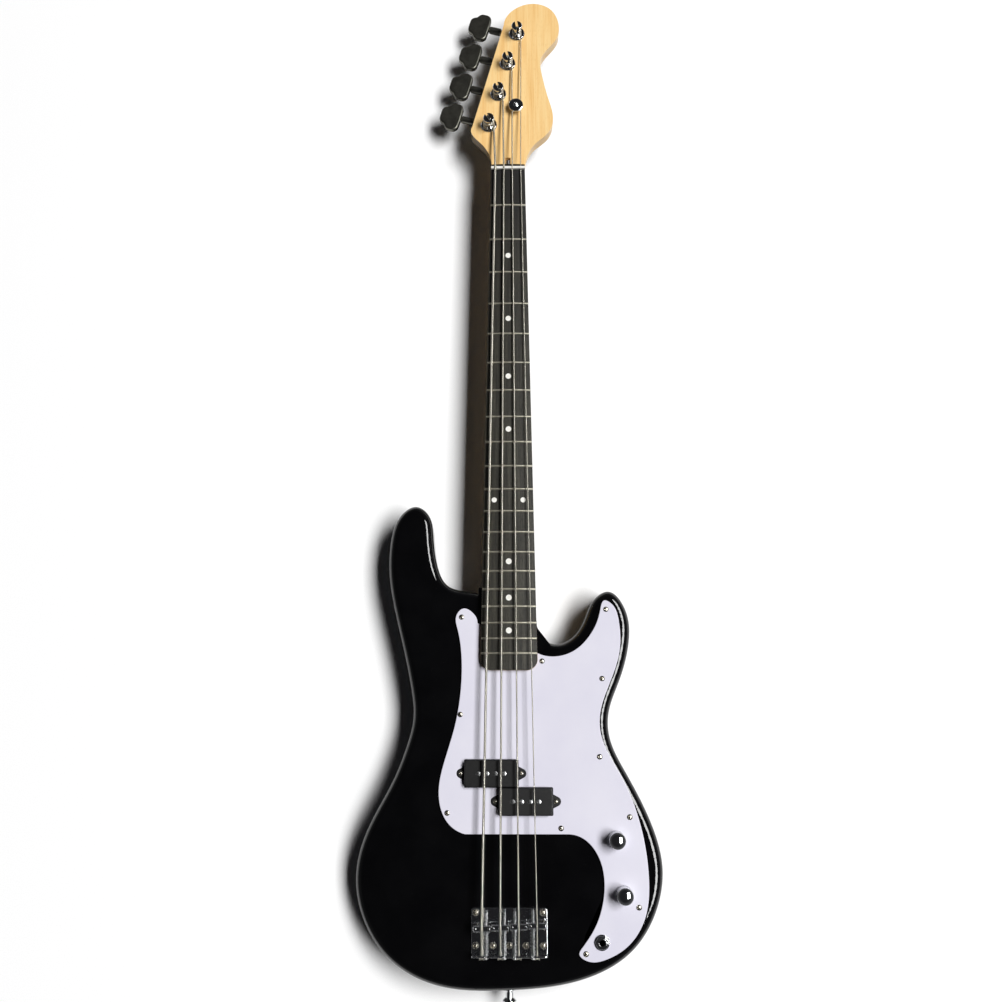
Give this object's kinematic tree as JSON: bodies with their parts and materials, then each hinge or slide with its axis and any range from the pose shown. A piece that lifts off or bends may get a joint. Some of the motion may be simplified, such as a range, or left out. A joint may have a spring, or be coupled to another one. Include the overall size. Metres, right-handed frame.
{
  "type": "electric bass guitar",
  "caption": "Solid-body electric bass with bolt-on fretted neck, open worm-gear tuners, split pickup, barrel-saddle bridge and rotary controls.",
  "frame": {"origin": "middle of the neck plate's outer face, on the strings' centre line, where the back rests", "axes": "+Y up the neck to the head, +X towards the thin strings, +Z out of the front"},
  "size_m": [0.3265, 1.1974, 0.0671],
  "materials": {
    "lacquer": "gloss black lacquer over solid wood",
    "maple": "satin clear lacquer over pale wood",
    "board": "oiled dark wood",
    "fret_wire": "polished nickel silver",
    "ivory": "white",
    "guard": "pale one-ply sheet, gloss",
    "cover": "satin black",
    "chrome": "polished",
    "nickel": "nickel-plated",
    "smoked": "smoked chrome",
    "brass": "machined",
    "steel": "plain",
    "string_wire": "wound with nickel wire",
    "coil": "taped copper winding",
    "can": "stamped can",
    "insulation": "cloth-look insulation",
    "ceramic": "dipped disc"
  },
  "bodies": {
    "instrument": {"body": "lacquer", "neck": "maple", "fingerboard": "board", "frets": "fret_wire", "position_dots": "ivory", "nut": "ivory", "truss_rod": "steel", "pickguard": "guard", "pickguard_screws": "nickel", "neck_plate": "chrome", "neck_plate_screws": "chrome", "pickup_cover_bass": "cover", "pickup_cover_treble": "cover", "pickup_coils": "coil", "pickup_poles": "steel", "pickup_screws": "nickel", "control_pots": "can", "control_nuts": "chrome", "tone_capacitor": "ceramic", "output_jack": "chrome", "wiring": "insulation", "bridge_plate": "chrome", "bridge_screws": "nickel", "intonation_springs": "steel", "tuner_plates": "smoked", "tuner_bushings": "chrome", "tuner_screws": "smoked", "string_tree": "chrome", "strap_button": "chrome", "string_e": "string_wire", "string_a": "string_wire", "string_d": "string_wire", "string_g": "string_wire"},
    "key_e": {"tuner_key_e": "smoked"},
    "post_e": {"tuner_post_e": "chrome", "tuner_gear_e": "brass", "string_winding_e": "string_wire"},
    "adjuster_e": {"intonation_screw_e": "nickel"},
    "saddle_block_e": {"saddle_e": "chrome"},
    "key_a": {"tuner_key_a": "smoked"},
    "post_a": {"tuner_post_a": "chrome", "tuner_gear_a": "brass", "string_winding_a": "string_wire"},
    "adjuster_a": {"intonation_screw_a": "nickel"},
    "saddle_block_a": {"saddle_a": "chrome"},
    "key_d": {"tuner_key_d": "smoked"},
    "post_d": {"tuner_post_d": "chrome", "tuner_gear_d": "brass", "string_winding_d": "string_wire"},
    "adjuster_d": {"intonation_screw_d": "nickel"},
    "saddle_block_d": {"saddle_d": "chrome"},
    "key_g": {"tuner_key_g": "smoked"},
    "post_g": {"tuner_post_g": "chrome", "tuner_gear_g": "brass", "string_winding_g": "string_wire"},
    "adjuster_g": {"intonation_screw_g": "nickel"},
    "saddle_block_g": {"saddle_g": "chrome"},
    "volume_control": {"volume_knob": "chrome"},
    "tone_control": {"tone_knob": "chrome"},
    "rod_adjuster": {"truss_rod_nut": "steel"}
  },
  "joints": [
    {"name": "key_turn_e", "type": "hinge", "parent": "instrument", "child": "key_e", "pos_m": [-0.02089, 0.64809, 0.02635], "axis": [-0.9659, 0.2588, 0], "continuous": true, "deforming": ["string_e"]},
    {"name": "post_turn_e", "type": "hinge", "parent": "instrument", "child": "post_e", "pos_m": [-0.024, 0.6365, 0.0461], "axis": [0, 0, 1], "continuous": true, "deforming": ["string_e"]},
    {"name": "key_turn_a", "type": "hinge", "parent": "instrument", "child": "key_a", "pos_m": [-0.00904, 0.69233, 0.02635], "axis": [-0.9659, 0.2588, 0], "continuous": true, "deforming": ["string_a"]},
    {"name": "post_turn_a", "type": "hinge", "parent": "instrument", "child": "post_a", "pos_m": [-0.01215, 0.68074, 0.0461], "axis": [0, 0, 1], "continuous": true, "deforming": ["string_a"]},
    {"name": "key_turn_d", "type": "hinge", "parent": "instrument", "child": "key_d", "pos_m": [0.00281, 0.73657, 0.02635], "axis": [-0.9659, 0.2588, 0], "continuous": true, "deforming": ["string_d"]},
    {"name": "post_turn_d", "type": "hinge", "parent": "instrument", "child": "post_d", "pos_m": [-0.00029, 0.72498, 0.0461], "axis": [0, 0, 1], "continuous": true, "deforming": ["string_d"]},
    {"name": "key_turn_g", "type": "hinge", "parent": "instrument", "child": "key_g", "pos_m": [0.01467, 0.78081, 0.02635], "axis": [-0.9659, 0.2588, 0], "continuous": true, "deforming": ["string_g"]},
    {"name": "post_turn_g", "type": "hinge", "parent": "instrument", "child": "post_g", "pos_m": [0.01156, 0.76922, 0.0461], "axis": [0, 0, 1], "continuous": true, "deforming": ["string_g"]},
    {"name": "adjuster_turn_e", "type": "hinge", "parent": "instrument", "child": "adjuster_e", "pos_m": [-0.0243, -0.333, 0.0583], "axis": [0, -1, 0], "range_deg": [-3240, 3240], "deforming": ["intonation_springs", "string_e"]},
    {"name": "saddle_slide_e", "type": "slide", "parent": "instrument", "child": "saddle_block_e", "axis": [0, 1, 0], "range_m": [-0.004, 0.004], "deforming": ["intonation_springs", "string_e"]},
    {"name": "adjuster_turn_a", "type": "hinge", "parent": "instrument", "child": "adjuster_a", "pos_m": [-0.0053, -0.333, 0.0583], "axis": [0, -1, 0], "range_deg": [-3240, 3240], "deforming": ["intonation_springs", "string_a"]},
    {"name": "saddle_slide_a", "type": "slide", "parent": "instrument", "child": "saddle_block_a", "axis": [0, 1, 0], "range_m": [-0.004, 0.004], "deforming": ["intonation_springs", "string_a"]},
    {"name": "adjuster_turn_d", "type": "hinge", "parent": "instrument", "child": "adjuster_d", "pos_m": [0.0053, -0.333, 0.0583], "axis": [0, -1, 0], "range_deg": [-3240, 3240], "deforming": ["intonation_springs", "string_d"]},
    {"name": "saddle_slide_d", "type": "slide", "parent": "instrument", "child": "saddle_block_d", "axis": [0, 1, 0], "range_m": [-0.004, 0.004], "deforming": ["intonation_springs", "string_d"]},
    {"name": "adjuster_turn_g", "type": "hinge", "parent": "instrument", "child": "adjuster_g", "pos_m": [0.0243, -0.333, 0.0583], "axis": [0, -1, 0], "range_deg": [-3240, 3240], "deforming": ["intonation_springs", "string_g"]},
    {"name": "saddle_slide_g", "type": "slide", "parent": "instrument", "child": "saddle_block_g", "axis": [0, 1, 0], "range_m": [-0.004, 0.004], "deforming": ["intonation_springs", "string_g"]},
    {"name": "volume_turn", "type": "hinge", "parent": "instrument", "child": "volume_control", "pos_m": [0.113, -0.219, 0.0496], "axis": [0, 0, 1], "range_deg": [0, 300]},
    {"name": "tone_turn", "type": "hinge", "parent": "instrument", "child": "tone_control", "pos_m": [0.1195, -0.2735, 0.0496], "axis": [0, 0, 1], "range_deg": [0, 300]},
    {"name": "rod_adjuster_turn", "type": "hinge", "parent": "instrument", "child": "rod_adjuster", "pos_m": [0, 0.5765, 0.0429], "axis": [0, 1, 0], "range_deg": [-180, 180]}
  ],
  "couplings": [
    {"joint": "post_turn_e", "follows": "key_turn_e", "ratio": -0.05},
    {"joint": "post_turn_a", "follows": "key_turn_a", "ratio": -0.05},
    {"joint": "post_turn_d", "follows": "key_turn_d", "ratio": -0.05},
    {"joint": "post_turn_g", "follows": "key_turn_g", "ratio": -0.05},
    {"joint": "adjuster_turn_e", "follows": "saddle_slide_e", "rad_per_m": 12566},
    {"joint": "adjuster_turn_a", "follows": "saddle_slide_a", "rad_per_m": 12566},
    {"joint": "adjuster_turn_d", "follows": "saddle_slide_d", "rad_per_m": 12566},
    {"joint": "adjuster_turn_g", "follows": "saddle_slide_g", "rad_per_m": 12566}
  ]
}
